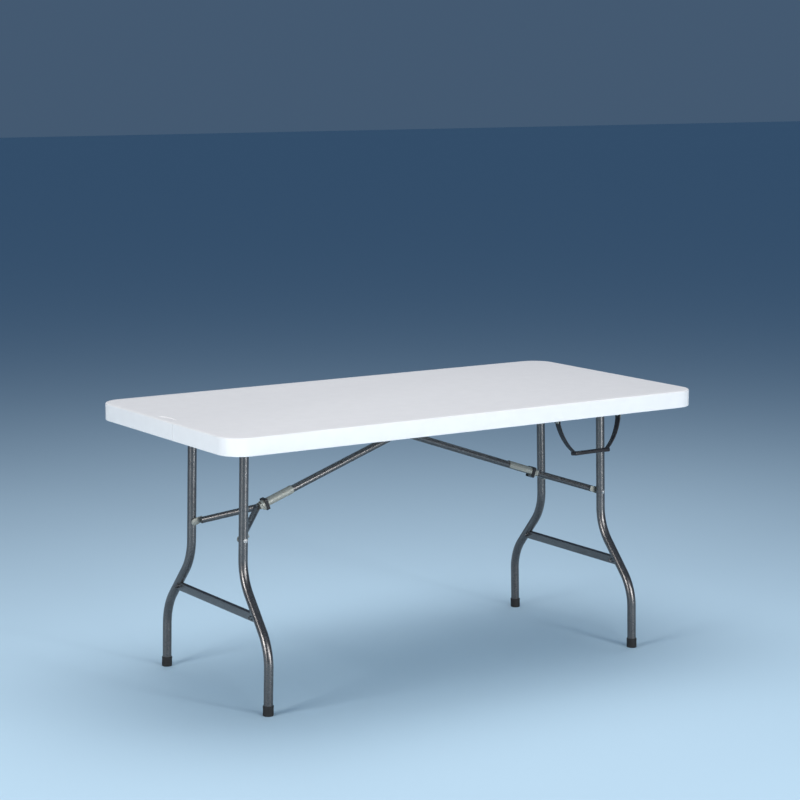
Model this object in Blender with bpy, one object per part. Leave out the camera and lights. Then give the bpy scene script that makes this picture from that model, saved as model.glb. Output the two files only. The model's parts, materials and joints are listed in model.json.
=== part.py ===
"""Folding table with a fixed moulded top and two steel leg frames that fold under it.

World frame: metres, +Z up, the origin on the floor under the middle of the top, +X along the
length.  Each leg frame turns about a cross tube near one end of the top.  A brace runs from each
frame to a bracket beyond the middle of the top, so the two braces pass each other side by side.
Where a frame meets its brace, a lock ring slides over a knuckle.
"""

import math

import bmesh
import bpy
from mathutils import Vector

for old in list(bpy.data.objects):
    bpy.data.objects.remove(old, do_unlink=True)

# ---- driving dimensions, metres and degrees ----
LENGTH = 1.524
WIDTH = 0.7525
HEIGHT = 0.754
GAP = 0.0003  # between pieces that touch on the real table

SKIRT_DEPTH = 0.0475
SKIRT_WALL = 0.022
DECK_THICKNESS = 0.020
CORNER_RADIUS = 0.066
TOP_EDGE_RADIUS = 0.005
MARK_LENGTH = 0.084  # shallow oval dimple near the left end of the top
MARK_WIDTH = 0.028
MARK_DEPTH = 0.0008
MARK_INSET = 0.022  # from the end of the top to the middle of the dimple
MARK_SIDE = 0.002  # from the table's middle line to the middle of the dimple

RAIL_INSET = 0.054  # from the side of the top to the outer face of the rail
RAIL_WIDTH = 0.020
RAIL_HEIGHT = 0.038
RAIL_WALL = 0.0022
RAIL_END = 0.102  # from the end of the top to the end of the rail
SCREW_RADIUS = 0.002
SCREW_DEPTH = 0.008  # into the deck
SCREW_HEAD = 0.0024
SCREW_SPREAD = 0.90  # of the rail's length, from its first screw to its last

PIVOT_INSET = 0.171  # from the end of the top to the leg pivot
PIVOT_DROP = 0.0265  # from the underside of the deck to the leg pivot
PIVOT_END_RADIUS = 0.0065
BUSH_WALL = 0.0018
BUSH_FLANGE = 0.0012
BUSH_LIP = 0.0008

TUBE_RADIUS = 0.0125
LEG_SPLAY = 1.36  # each frame leans out by this angle
LEG_TOP_HALF_WIDTH = 0.143
LEG_FOOT_HALF_WIDTH = 0.2835
BEND_RADIUS = 0.140
BEND_ANGLE = 41.0
FOOT_STRAIGHT = 0.122
CROSS_BAR_HEIGHT = 0.244
CROSS_BAR_DEPTH = 0.026
CROSS_BAR_THICKNESS = 0.010
CAP_WALL = 0.0020
CAP_HEIGHT = 0.027
CAP_FLOOR = 0.004

LINK_HEIGHT = 0.438  # the bolt that joins the V link to the leg
LINK_BOLT_RADIUS = 0.003
BRACE_RADIUS = 0.010
BRACE_OFFSET = 0.0135  # each brace stands this far to its own side of the middle
BRACE_TOP_PAST_MIDDLE = 0.190
BRACE_TOP_DROP = 0.022  # from the underside of the deck to the brace pivot
BRACE_PAST_PIN = 0.010  # the tube runs on past its top pin by this much
TUBE_STOP = 0.0135  # from the end of the brace tube to the knuckle pin
RIVET_BACK = 0.0215  # from the channel's rivet to the knuckle pin
ARM_RADIUS = 0.009
ARM_START = 0.020  # from the knuckle pin to where the arms meet
LINK_REACH = 0.161  # from the link bolt to the knuckle, along the brace
KNUCKLE_OFFSET = 0.009  # the knuckle pin lies this far below the brace's middle line

CHANNEL_WALL = 0.0018
CHANNEL_BACK = 0.0937  # channel length on the brace's side of the knuckle pin
CHANNEL_FRONT = 0.009
CHANNEL_CROWN = 0.0017  # from the brace tube to the top of the channel
CHEEK_BOTTOM = 0.0075
EAR_RADIUS = 0.0055
TONGUE_FACE = 0.016  # the tongue's far end, from the knuckle pin
TONGUE_HALF_DEPTH = 0.0072
PIN_RADIUS = 0.0025
RING_LENGTH = 0.0095
RING_BACK = 0.0042  # from the knuckle pin to the middle of the ring
RING_WALL = 0.0019
END_PLATE_THICKNESS = 0.003
END_PLATE_RADIUS = 0.0095
END_PLATE_LENGTH = 0.018
BOLT_WASHER = 0.0022  # stands in from the leg, between it and the end plate
BOLT_CROWN = 0.0032
BRACKET_LENGTH = 0.030
BRACKET_WALL = 0.002
BRACKET_DROP = 0.007  # below the brace's top pin
PIN_HEAD = 0.002

HANDLE_CENTRE = 0.3925
HANDLE_TOP_SPAN = 0.211
HANDLE_GRIP_SPAN = 0.112
HANDLE_REST = 8.0  # degrees, outwards from hanging straight down
HANDLE_DROP = 0.094  # from the handle pivot to the grip
HANDLE_PIVOT_INSET = 0.038  # from the side of the top
HANDLE_PIVOT_DROP = 0.034
STRAP_WIDTH = 0.020
STRAP_THICKNESS = 0.004
GRIP_WIDTH = 0.024
GRIP_THICKNESS = 0.011
HANDLE_PLATE = 0.0025
HANDLE_PLATE_HALF = 0.008
HANDLE_FLANGE = 0.018

CLIP_CENTRE = 0.040
CLIP_WIDTH = 0.034
CLIP_DROP = 0.048
CLIP_WALL = 0.0025
CLIP_ROOM = 0.003  # between the hook's stem and a leg

ROUND = 16  # sides of a tube
FINE = 12  # sides of a pin

# ---- places that follow from them ----
UNDERSIDE = HEIGHT - DECK_THICKNESS
SKIRT_BOTTOM = HEIGHT - SKIRT_DEPTH
PIVOT = Vector((LENGTH / 2 - PIVOT_INSET, 0, UNDERSIDE - PIVOT_DROP))
SPLAY = math.radians(LEG_SPLAY)
BEND = math.radians(BEND_ANGLE)
LEG_LENGTH = PIVOT.z / math.cos(SPLAY)
RAIL_LENGTH = LENGTH - 2 * RAIL_END
RAIL_OUTER = WIDTH / 2 - RAIL_INSET
RAIL_TOP = UNDERSIDE - GAP
RAIL_BOTTOM = RAIL_TOP - RAIL_HEIGHT


def below_pivot(height):
    """Distance down the leg frame from its pivot to a height above the floor."""
    return (PIVOT.z - height) / math.cos(SPLAY)


def on_frame(height):
    """The point of the right leg frame's plane at a height above the floor."""
    return Vector((PIVOT.x + below_pivot(height) * math.sin(SPLAY), 0, height))


LINK = on_frame(LINK_HEIGHT)
BRACE_TOP = Vector((-BRACE_TOP_PAST_MIDDLE, 0, UNDERSIDE - BRACE_TOP_DROP))
BRACE_RUN = (LINK - BRACE_TOP).length
BRACE_SLOPE = math.atan2(BRACE_TOP.z - LINK.z, LINK.x - BRACE_TOP.x)
KNUCKLE = BRACE_RUN - LINK_REACH  # along the brace from its top pivot
CHANNEL_HALF = BRACE_RADIUS + GAP + CHANNEL_WALL
CHANNEL_TOP = BRACE_RADIUS + CHANNEL_CROWN


# ---- finishes ----
def finish(name, colour, roughness, metallic=0.0):
    material = bpy.data.materials.new(name)
    material.use_nodes = True
    shader = material.node_tree.nodes["Principled BSDF"]
    shader.inputs["Base Color"].default_value = (*colour, 1.0)
    shader.inputs["Roughness"].default_value = roughness
    shader.inputs["Metallic"].default_value = metallic
    return material


WHITE_PLASTIC = finish("white_plastic", (0.80, 0.80, 0.79), 0.55)
PEWTER_PAINT = finish("pewter_paint", (0.10, 0.10, 0.11), 0.38, 0.6)
ZINC = finish("zinc_plate", (0.38, 0.39, 0.37), 0.42, 0.8)
BLACK_PLASTIC = finish("black_plastic", (0.012, 0.012, 0.013), 0.5)
PALE_PLASTIC = finish("pale_plastic", (0.55, 0.53, 0.45), 0.5)
STEEL = finish("bright_steel", (0.55, 0.55, 0.56), 0.3, 1.0)


# ---- making solids ----
def add(name, bm, material, parent=None, side=1, smooth=True):
    """Makes an object from a closed mesh; side -1 mirrors it along X first."""
    for vertex in bm.verts:
        vertex.co.x *= side
    bm.normal_update()
    bmesh.ops.recalc_face_normals(bm, faces=bm.faces)
    mesh = bpy.data.meshes.new(name)
    bm.to_mesh(mesh)
    bm.free()
    mesh.materials.append(material)
    if smooth:
        mesh.shade_smooth()
        mesh.set_sharp_from_angle(angle=math.radians(35))
    obj = bpy.data.objects.new(name, mesh)
    bpy.context.scene.collection.objects.link(obj)
    obj.parent = parent
    return obj


def empty(name, place, turn_y=0.0):
    """An empty on a joint's axis, which the pieces that turn there hang from."""
    obj = bpy.data.objects.new(name, None)
    bpy.context.scene.collection.objects.link(obj)
    obj.location = place
    obj.rotation_euler = (0, turn_y, 0)
    return obj


def cut(obj, cutter):
    """Takes the cutter's shape out of an object; the cutter stays as a hidden helper."""
    cutter.hide_render = True
    cutter.display_type = "WIRE"
    modifier = obj.modifiers.new("cut_" + cutter.name, "BOOLEAN")
    modifier.operation = "DIFFERENCE"
    modifier.solver = "EXACT"
    modifier.object = cutter


def stack(rings):
    """A closed solid through rings of points, each with the same number of points."""
    bm = bmesh.new()
    loops = [[bm.verts.new(point) for point in ring] for ring in rings]
    count = len(rings[0])
    for low, high in zip(loops, loops[1:]):
        for i in range(count):
            j = (i + 1) % count
            bm.faces.new((low[i], low[j], high[j], high[i]))
    bm.faces.new(loops[0])
    bm.faces.new(loops[-1])
    return bm


def tube(path, radius, sides=ROUND, across=Vector((1, 0, 0))):
    """A round bar along a path that lies in a plane; across is that plane's normal."""
    rings = []
    for i, point in enumerate(path):
        tangent = (path[min(i + 1, len(path) - 1)] - path[max(i - 1, 0)]).normalized()
        other = tangent.cross(across)
        ring = []
        for k in range(sides):
            angle = 2 * math.pi * k / sides
            ring.append(point + radius * (math.cos(angle) * across + math.sin(angle) * other))
        rings.append(ring)
    return stack(rings)


def turned(profile, sides=FINE, centre=Vector((0, 0, 0)), axis="Y"):
    """A turned solid: profile is a list of (distance along the axis, radius)."""
    rings = []
    for along, radius in profile:
        ring = []
        for k in range(sides):
            angle = 2 * math.pi * k / sides
            u = radius * math.cos(angle)
            v = radius * math.sin(angle)
            place = {"X": (along, u, v), "Y": (u, along, v), "Z": (u, v, along)}[axis]
            ring.append(centre + Vector(place))
        rings.append(ring)
    return stack(rings)


def block(low, high):
    x0, y0, z0 = low
    x1, y1, z1 = high
    bottom = [Vector((x0, y0, z0)), Vector((x1, y0, z0)), Vector((x1, y1, z0)), Vector((x0, y1, z0))]
    top = [point + Vector((0, 0, z1 - z0)) for point in bottom]
    return stack([bottom, top])


def slab(outline, low, high, axis="Y"):
    """An outline of (u, v) pairs pushed from low to high along an axis."""
    rings = []
    for along in (low, high):
        if axis == "Y":
            rings.append([Vector((u, along, v)) for u, v in outline])
        elif axis == "X":
            rings.append([Vector((along, u, v)) for u, v in outline])
        else:
            rings.append([Vector((u, v, along)) for u, v in outline])
    return stack(rings)


def arc(centre, radius, start, end, steps):
    """Points (u, v) on a circle from one angle to another, in degrees."""
    points = []
    for i in range(steps + 1):
        angle = math.radians(start + (end - start) * i / steps)
        points.append((centre[0] + radius * math.cos(angle), centre[1] + radius * math.sin(angle)))
    return points


def rounded_rectangle(half_u, half_v, radius, steps):
    """An outline with round corners, about the origin."""
    u, v = half_u - radius, half_v - radius
    corners = [((u, v), 0), ((-u, v), 90), ((-u, -v), 180), ((u, -v), 270)]
    outline = []
    for centre, start in corners:
        outline += arc(centre, radius, start, start + 90, steps)
    return outline


# ---- the top ----
def table_top():
    """Moulded top: a flat deck with a round top edge, and a hollow inside its skirt."""
    steps = 8
    rings = []
    for i in range(5):
        angle = math.radians(90 - 90 * i / 4)
        inset = TOP_EDGE_RADIUS * (1 - math.cos(angle))
        height = HEIGHT - TOP_EDGE_RADIUS * (1 - math.sin(angle))
        rings.append((inset, height))
    rings.append((0.0, SKIRT_BOTTOM + 0.001))
    rings.append((0.001, SKIRT_BOTTOM))
    rings.append((SKIRT_WALL - 0.001, SKIRT_BOTTOM))
    rings.append((SKIRT_WALL, SKIRT_BOTTOM + 0.001))
    rings.append((SKIRT_WALL, UNDERSIDE))
    loops = []
    for inset, height in rings:
        outline = rounded_rectangle(
            LENGTH / 2 - inset, WIDTH / 2 - inset, CORNER_RADIUS - inset, steps
        )
        loops.append([Vector((u, v, height)) for u, v in outline])
    return add("table_top", stack(loops), WHITE_PLASTIC)


def dimple_cutter():
    """The oval mark: a shallow lens-shaped dish pressed into the top near the left end."""
    outline = []
    for k in range(20):
        angle = 2 * math.pi * k / 20
        outline.append((MARK_WIDTH / 2 * math.cos(angle), MARK_LENGTH / 2 * math.sin(angle)))
    loops = []
    for scale, height in ((0.9, -MARK_DEPTH), (1.0, 0.0), (1.03, MARK_DEPTH)):
        loops.append([Vector((u * scale, v * scale, height)) for u, v in outline])
    cutter = add("mark_cutter", stack(loops), WHITE_PLASTIC)
    cutter.location = (-LENGTH / 2 + MARK_INSET, MARK_SIDE, HEIGHT)
    return cutter


def rail_screw(name, x, y):
    """A round-headed screw up through the rail's top flange, and the hole that it needs."""
    flange = RAIL_TOP - RAIL_WALL
    profile = [
        (flange - GAP - SCREW_HEAD, SCREW_RADIUS),
        (flange - GAP - SCREW_HEAD * 0.6, SCREW_RADIUS * 2),
        (flange - GAP, SCREW_RADIUS * 2.1),
        (flange - GAP, SCREW_RADIUS),
        (UNDERSIDE + SCREW_DEPTH, SCREW_RADIUS),
    ]
    add(name, turned(profile, 10, Vector((x, y, 0)), "Z"), STEEL)
    hole = [(flange - 0.004, SCREW_RADIUS + GAP), (UNDERSIDE + SCREW_DEPTH + GAP, SCREW_RADIUS + GAP)]
    return add(name + "_hole", turned(hole, 10, Vector((x, y, 0)), "Z"), STEEL)


def side_rail(name, way):
    """Pressed steel channel along one side, open towards the middle; way is -1 in front."""
    inner = RAIL_OUTER - RAIL_WIDTH
    web = RAIL_OUTER - RAIL_WALL
    outline = [
        (inner, RAIL_TOP),
        (RAIL_OUTER, RAIL_TOP),
        (RAIL_OUTER, RAIL_BOTTOM),
        (inner, RAIL_BOTTOM),
        (inner, RAIL_BOTTOM + RAIL_WALL),
        (web, RAIL_BOTTOM + RAIL_WALL),
        (web, RAIL_TOP - RAIL_WALL),
        (inner, RAIL_TOP - RAIL_WALL),
    ]
    outline = [(way * y, z) for y, z in outline]
    rail = add(name, slab(outline, -RAIL_LENGTH / 2, RAIL_LENGTH / 2, "X"), PEWTER_PAINT, smooth=False)
    for side, where in ((-1, "left"), (1, "right")):
        reach = [(way * (web - 0.005), PIVOT_END_RADIUS + BUSH_WALL + 2 * GAP)]
        reach.append((way * (RAIL_OUTER + 0.005), reach[0][1]))
        place = Vector((side * PIVOT.x, 0, PIVOT.z))
        cut(rail, add(f"{name}_{where}_bore", turned(reach, ROUND, place), STEEL))
    return rail


# ---- leg frames ----
def leg_path(way):
    """Middle line of a leg, in the frame's own plane, from under the cross tube to the foot."""
    across = LEG_FOOT_HALF_WIDTH - LEG_TOP_HALF_WIDTH
    slant = (across - 2 * BEND_RADIUS * (1 - math.cos(BEND))) / math.sin(BEND)
    fall = 2 * BEND_RADIUS * math.sin(BEND) + slant * math.cos(BEND)
    foot = LEG_LENGTH - CAP_FLOOR - GAP - TUBE_RADIUS * math.tan(SPLAY)
    first = LEG_LENGTH - FOOT_STRAIGHT - fall
    last = LEG_LENGTH - FOOT_STRAIGHT
    points = [(LEG_TOP_HALF_WIDTH, TUBE_RADIUS + GAP)]
    steps = 6
    for i in range(steps + 1):
        angle = BEND * i / steps
        y = LEG_TOP_HALF_WIDTH + BEND_RADIUS * (1 - math.cos(angle))
        points.append((y, first + BEND_RADIUS * math.sin(angle)))
    for i in range(steps + 1):
        angle = BEND * (1 - i / steps)
        y = LEG_FOOT_HALF_WIDTH - BEND_RADIUS * (1 - math.cos(angle))
        points.append((y, last - BEND_RADIUS * math.sin(angle)))
    points.append((LEG_FOOT_HALF_WIDTH, foot))
    middle = (first + last) / 2
    return [Vector((0, way * y, -down)) for y, down in points], middle


def cross_bar_end(down, middle):
    """Half width of the cross bar at a distance down the frame, clear of the slanting leg."""
    axis = (LEG_TOP_HALF_WIDTH + LEG_FOOT_HALF_WIDTH) / 2 + (down - middle) * math.tan(BEND)
    return axis - (TUBE_RADIUS + GAP) / math.cos(BEND)


def foot_cap(name, pivot, side, way):
    """Plastic cup on the end of a leg, its underside level with the floor."""
    outer = TUBE_RADIUS + CAP_WALL
    bore = TUBE_RADIUS + GAP
    rings = []
    for radius, height in (
        (outer - 0.0015, 0.0),
        (outer, 0.0015),
        (outer, CAP_HEIGHT - 0.001),
        (outer - 0.0008, CAP_HEIGHT),
        (bore, CAP_HEIGHT),
        (bore, CAP_FLOOR),
    ):
        ring = []
        for k in range(ROUND):
            angle = 2 * math.pi * k / ROUND
            x = radius * math.cos(angle)
            level = (PIVOT.z - height + x * math.sin(SPLAY)) / math.cos(SPLAY)
            ring.append(Vector((x, way * LEG_FOOT_HALF_WIDTH + radius * math.sin(angle), -level)))
        rings.append(ring)
    add(name, stack(rings), BLACK_PLASTIC, pivot, side)


def leg_frame(where, side):
    """One folding frame: cross tube, two bent legs, a low cross bar, caps and link bolts."""
    pivot = empty(f"{where}_leg_pivot", (side * PIVOT.x, 0, PIVOT.z), -side * SPLAY)
    web = RAIL_OUTER - RAIL_WALL
    shoulder = RAIL_OUTER - RAIL_WIDTH - 0.002
    end = RAIL_OUTER + 0.003
    profile = [
        (-end, PIVOT_END_RADIUS),
        (-shoulder, PIVOT_END_RADIUS),
        (-shoulder, TUBE_RADIUS),
        (shoulder, TUBE_RADIUS),
        (shoulder, PIVOT_END_RADIUS),
        (end, PIVOT_END_RADIUS),
    ]
    add(f"{where}_pivot_tube", turned(profile, ROUND), PEWTER_PAINT, pivot, side)
    _, middle = leg_path(1)
    down = below_pivot(CROSS_BAR_HEIGHT)
    high, low = down - CROSS_BAR_DEPTH / 2, down + CROSS_BAR_DEPTH / 2
    outline = [
        (cross_bar_end(high, middle), -high),
        (-cross_bar_end(high, middle), -high),
        (-cross_bar_end(low, middle), -low),
        (cross_bar_end(low, middle), -low),
    ]
    half = CROSS_BAR_THICKNESS / 2
    add(f"{where}_cross_bar", slab(outline, -half, half, "X"), PEWTER_PAINT, pivot, side, smooth=False)
    for way, row in ((-1, "front"), (1, "rear")):
        path, _ = leg_path(way)
        leg = add(f"{where}_{row}_leg", tube(path, TUBE_RADIUS), PEWTER_PAINT, pivot, side)
        foot_cap(f"{where}_{row}_foot_cap", pivot, side, way)
        link = Vector((0, 0, -below_pivot(LINK_HEIGHT)))
        outer = LEG_TOP_HALF_WIDTH + TUBE_RADIUS
        inner = LEG_TOP_HALF_WIDTH - TUBE_RADIUS
        bore = LINK_BOLT_RADIUS + GAP
        hole = [(way * (inner - 0.004), bore), (way * (outer + 0.004), bore)]
        cutter = add(f"{where}_{row}_link_hole", turned(hole, FINE, link), STEEL, pivot, side)
        cut(leg, cutter)
        profile = [
            (inner - BOLT_WASHER, LINK_BOLT_RADIUS * 1.9),
            (inner - GAP, LINK_BOLT_RADIUS * 1.9),
            (inner - GAP, LINK_BOLT_RADIUS),
            (outer + GAP, LINK_BOLT_RADIUS),
            (outer + GAP, LINK_BOLT_RADIUS * 1.8),
            (outer + BOLT_CROWN * 0.7, LINK_BOLT_RADIUS * 1.5),
            (outer + BOLT_CROWN, LINK_BOLT_RADIUS * 0.7),
        ]
        profile = [(way * y, radius) for y, radius in profile]
        add(f"{where}_{row}_link_bolt", turned(profile, FINE, link), STEEL, pivot, side)
        flange = PIVOT_END_RADIUS + BUSH_WALL + BUSH_LIP
        bore = PIVOT_END_RADIUS + GAP
        body = PIVOT_END_RADIUS + BUSH_WALL
        profile = [
            (web - GAP - BUSH_FLANGE, bore),
            (web - GAP - BUSH_FLANGE, flange),
            (web - GAP, flange),
            (web - GAP, body),
            (RAIL_OUTER + 0.001, body),
            (RAIL_OUTER + 0.001, bore),
        ]
        bush(f"{where}_{row}_pivot_bush", side, [(way * y, radius) for y, radius in profile])


def bush(name, side, profile):
    """A plastic sleeve with a flange, which lines the rail's hole round the cross tube."""
    rings = []
    for along, radius in profile:
        ring = []
        for k in range(ROUND):
            angle = 2 * math.pi * k / ROUND
            place = (side * PIVOT.x + radius * math.cos(angle), along, PIVOT.z + radius * math.sin(angle))
            ring.append(Vector(place))
        rings.append(ring)
    bm = bmesh.new()
    loops = [[bm.verts.new(point) for point in ring] for ring in rings]
    for low, high in zip(loops, loops[1:] + loops[:1]):
        for i in range(ROUND):
            j = (i + 1) % ROUND
            bm.faces.new((low[i], low[j], high[j], high[i]))
    add(name, bm, BLACK_PLASTIC)


# ---- braces ----
def brace(where, side):
    """The long tube, its top bracket and pin, and the knuckle channel on its lower end."""
    y = -side * BRACE_OFFSET
    top = empty(f"{where}_brace_pivot", (side * BRACE_TOP.x, y, BRACE_TOP.z), side * BRACE_SLOPE)
    ends = [Vector((-BRACE_PAST_PIN, 0, 0)), Vector((KNUCKLE - TUBE_STOP, 0, 0))]
    bar_mesh = tube(ends, BRACE_RADIUS, across=Vector((0, 1, 0)))
    bar = add(f"{where}_brace_tube", bar_mesh, PEWTER_PAINT, top, side)
    half = CHANNEL_HALF
    hole = [(-half - 0.004, PIN_RADIUS + GAP), (half + 0.004, PIN_RADIUS + GAP)]
    cut(bar, add(f"{where}_brace_top_hole", turned(hole), STEEL, top, side))
    rivet = Vector((KNUCKLE - RIVET_BACK, 0, 0))
    rivet_hole = add(f"{where}_brace_rivet_hole", turned(hole, FINE, rivet), STEEL, top, side)
    cut(bar, rivet_hole)

    back, front = KNUCKLE - CHANNEL_BACK, KNUCKLE + CHANNEL_FRONT
    ear_front, ear_back = KNUCKLE + EAR_RADIUS, KNUCKLE - EAR_RADIUS
    outline = [(back, CHANNEL_TOP), (front, CHANNEL_TOP), (front, -0.002)]
    outline += arc((KNUCKLE, -KNUCKLE_OFFSET), EAR_RADIUS, 0, -180, 6)
    outline += [(ear_back - 0.003, -CHEEK_BOTTOM), (back, -CHEEK_BOTTOM)]
    channel = add(f"{where}_knuckle_channel", slab(outline, -half, half), ZINC, top, side, smooth=False)
    inner = half - CHANNEL_WALL
    room = block((back - 0.01, -inner, -0.05), (front + 0.01, inner, BRACE_RADIUS + GAP / 2))
    cut(channel, add(f"{where}_channel_room", room, ZINC, top, side))
    cut(channel, rivet_hole)
    knuckle = Vector((KNUCKLE, 0, -KNUCKLE_OFFSET))
    pin_hole = add(f"{where}_knuckle_hole", turned(hole, FINE, knuckle), STEEL, top, side)
    cut(channel, pin_hole)
    for name, place in ((f"{where}_knuckle_pin", knuckle), (f"{where}_channel_rivet", rivet)):
        profile = [(-half, PIN_RADIUS), (half, PIN_RADIUS)]
        add(name, turned(profile, FINE, place), STEEL, top, side)

    # The bracket and its pin are fixed to the top, so they stand in world axes.
    place = Vector((side * BRACE_TOP.x, y, BRACE_TOP.z))
    cheek = BRACE_RADIUS + 2 * GAP
    far = cheek + BRACKET_WALL
    up = RAIL_TOP - BRACE_TOP.z
    web = up - BRACKET_WALL
    outline = [
        (-far, up), (far, up), (far, -BRACKET_DROP), (cheek, -BRACKET_DROP),
        (cheek, web), (-cheek, web), (-cheek, -BRACKET_DROP), (-far, -BRACKET_DROP),
    ]
    outline = [(u + place.y, v + place.z) for u, v in outline]
    ends = (place.x - BRACKET_LENGTH / 2, place.x + BRACKET_LENGTH / 2)
    bracket = add(f"{where}_brace_bracket", slab(outline, *ends, "X"), ZINC, smooth=False)
    cut(bracket, add(f"{where}_bracket_hole", turned(hole, FINE, place), STEEL))
    profile = [
        (-far - PIN_HEAD, PIN_RADIUS * 1.3), (-far - GAP, PIN_RADIUS * 1.9), (-far - GAP, PIN_RADIUS),
        (far + GAP, PIN_RADIUS), (far + GAP, PIN_RADIUS * 1.9), (far + PIN_HEAD, PIN_RADIUS * 1.3),
    ]
    add(f"{where}_brace_pin", turned(profile, FINE, place), STEEL)

    # The lock ring slides along the brace, so its own origin is at its middle on that line.
    ring = empty(f"{where}_ring_slide", (0, 0, 0))
    ring.parent = top
    ring.location = (side * (KNUCKLE - RING_BACK), 0, 0)
    lock_ring(f"{where}_lock_ring", ring, side)
    v_link(where, side, y)


def lock_ring(name, parent, side):
    """Black sleeve that holds the knuckle straight; it fits over the channel and its ears."""
    half_y = CHANNEL_HALF + 2 * GAP
    low = -KNUCKLE_OFFSET - EAR_RADIUS - 2 * GAP
    high = CHANNEL_TOP + 2 * GAP
    middle = (low + high) / 2
    half_z = (high - low) / 2
    inner = rounded_rectangle(half_y, half_z, 0.0015, 3)
    outer = rounded_rectangle(half_y + RING_WALL, half_z + RING_WALL, 0.0034, 3)
    half = RING_LENGTH / 2
    loops = []
    for outline, x in ((outer, -half), (outer, half), (inner, half), (inner, -half)):
        loops.append([Vector((x, u, middle + v)) for u, v in outline])
    bm = bmesh.new()
    rings = [[bm.verts.new(point) for point in loop] for loop in loops]
    count = len(loops[0])
    for a, b in zip(rings, rings[1:] + rings[:1]):
        for i in range(count):
            j = (i + 1) % count
            bm.faces.new((a[i], a[j], b[j], b[i]))
    add(name, bm, BLACK_PLASTIC, parent, side, smooth=False)


def v_link(where, side, offset):
    """Tongue, two arms and two end plates; it turns about the knuckle pin."""
    slope = BRACE_SLOPE
    along = Vector((math.cos(slope), 0, -math.sin(slope)))
    normal = Vector((math.sin(slope), 0, math.cos(slope)))
    pin = BRACE_TOP + KNUCKLE * along - KNUCKLE_OFFSET * normal
    turn = empty(f"{where}_knuckle_pivot", (side * pin.x, offset, pin.z), side * slope)
    rise = KNUCKLE_OFFSET  # the arms' middle line lies this far above the pin
    thick = CHANNEL_HALF - CHANNEL_WALL - 0.0005
    low, high = rise - TONGUE_HALF_DEPTH, rise + TONGUE_HALF_DEPTH
    outline = arc((0, 0), EAR_RADIUS - 0.0005, 90, 270, 6)
    outline += [(0.006, -EAR_RADIUS + 0.0005), (0.009, low), (TONGUE_FACE, low)]
    outline += [(TONGUE_FACE, high), (0.006, high)]
    tongue = add(f"{where}_link_tongue", slab(outline, -thick, thick), ZINC, turn, side, smooth=False)
    hole = [(-thick - 0.004, PIN_RADIUS + GAP), (thick + 0.004, PIN_RADIUS + GAP)]
    cut(tongue, add(f"{where}_tongue_hole", turned(hole), STEEL, turn, side))
    plate_outer = LEG_TOP_HALF_WIDTH - TUBE_RADIUS - BOLT_WASHER - GAP
    plate_inner = plate_outer - END_PLATE_THICKNESS
    for way, row in ((-1, "front"), (1, "rear")):
        # Local Y is measured from the brace's own plane, which stands off the middle.
        reach = way * plate_inner - offset
        start = Vector((ARM_START, 0, rise))
        stop = Vector((LINK_REACH - 0.006, reach, rise))
        line = (stop - start).normalized()
        bm = tube([start - 0.004 * line, stop + 0.012 * line], ARM_RADIUS, across=Vector((0, 0, 1)))
        planes = (
            ((0, way * 0.0002, 0), (0, -way, 0)),
            ((TONGUE_FACE + GAP, 0, 0), (-1, 0, 0)),
            ((0, reach - way * GAP, 0), (0, way, 0)),
        )
        for point, out in planes:
            trim(bm, point, out)
        add(f"{where}_{row}_link_arm", bm, PEWTER_PAINT, turn, side)
        tip = (LINK_REACH, rise)
        outline = arc(tip, END_PLATE_RADIUS, -90, 90, 8)
        plate_back = LINK_REACH - END_PLATE_LENGTH
        outline += [(plate_back, rise + END_PLATE_RADIUS), (plate_back, rise - END_PLATE_RADIUS)]
        far = way * plate_outer - offset
        plate = slab(outline, reach, far)
        add(f"{where}_{row}_end_plate", plate, ZINC, turn, side, smooth=False)


def trim(bm, point, out):
    """Cuts a closed mesh by a plane, drops the side that out points to, and closes the cut."""
    everything = list(bm.verts) + list(bm.edges) + list(bm.faces)
    bmesh.ops.bisect_plane(
        bm, geom=everything, dist=1e-7, plane_co=point, plane_no=out, clear_outer=True
    )
    open_edges = [edge for edge in bm.edges if edge.is_boundary]
    bmesh.ops.holes_fill(bm, edges=open_edges, sides=0)


# ---- carrying handle and leg clips ----
def strap_outline(points, half):
    """Outline of a flat strap of even thickness bent along a few points."""
    left, right = [], []
    for i, (u, v) in enumerate(points):
        before = Vector(points[max(i - 1, 0)])
        after = Vector(points[min(i + 1, len(points) - 1)])
        here = Vector((u, v))
        first = (here - before).normalized() if i else (after - here).normalized()
        second = (after - here).normalized() if i < len(points) - 1 else first
        normal = Vector((-(first + second).y, (first + second).x)).normalized()
        reach = half / max(0.3, normal.dot(Vector((-first.y, first.x))))
        left.append(tuple(here + normal * reach))
        right.append(tuple(here - normal * reach))
    return left + right[::-1]


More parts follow.
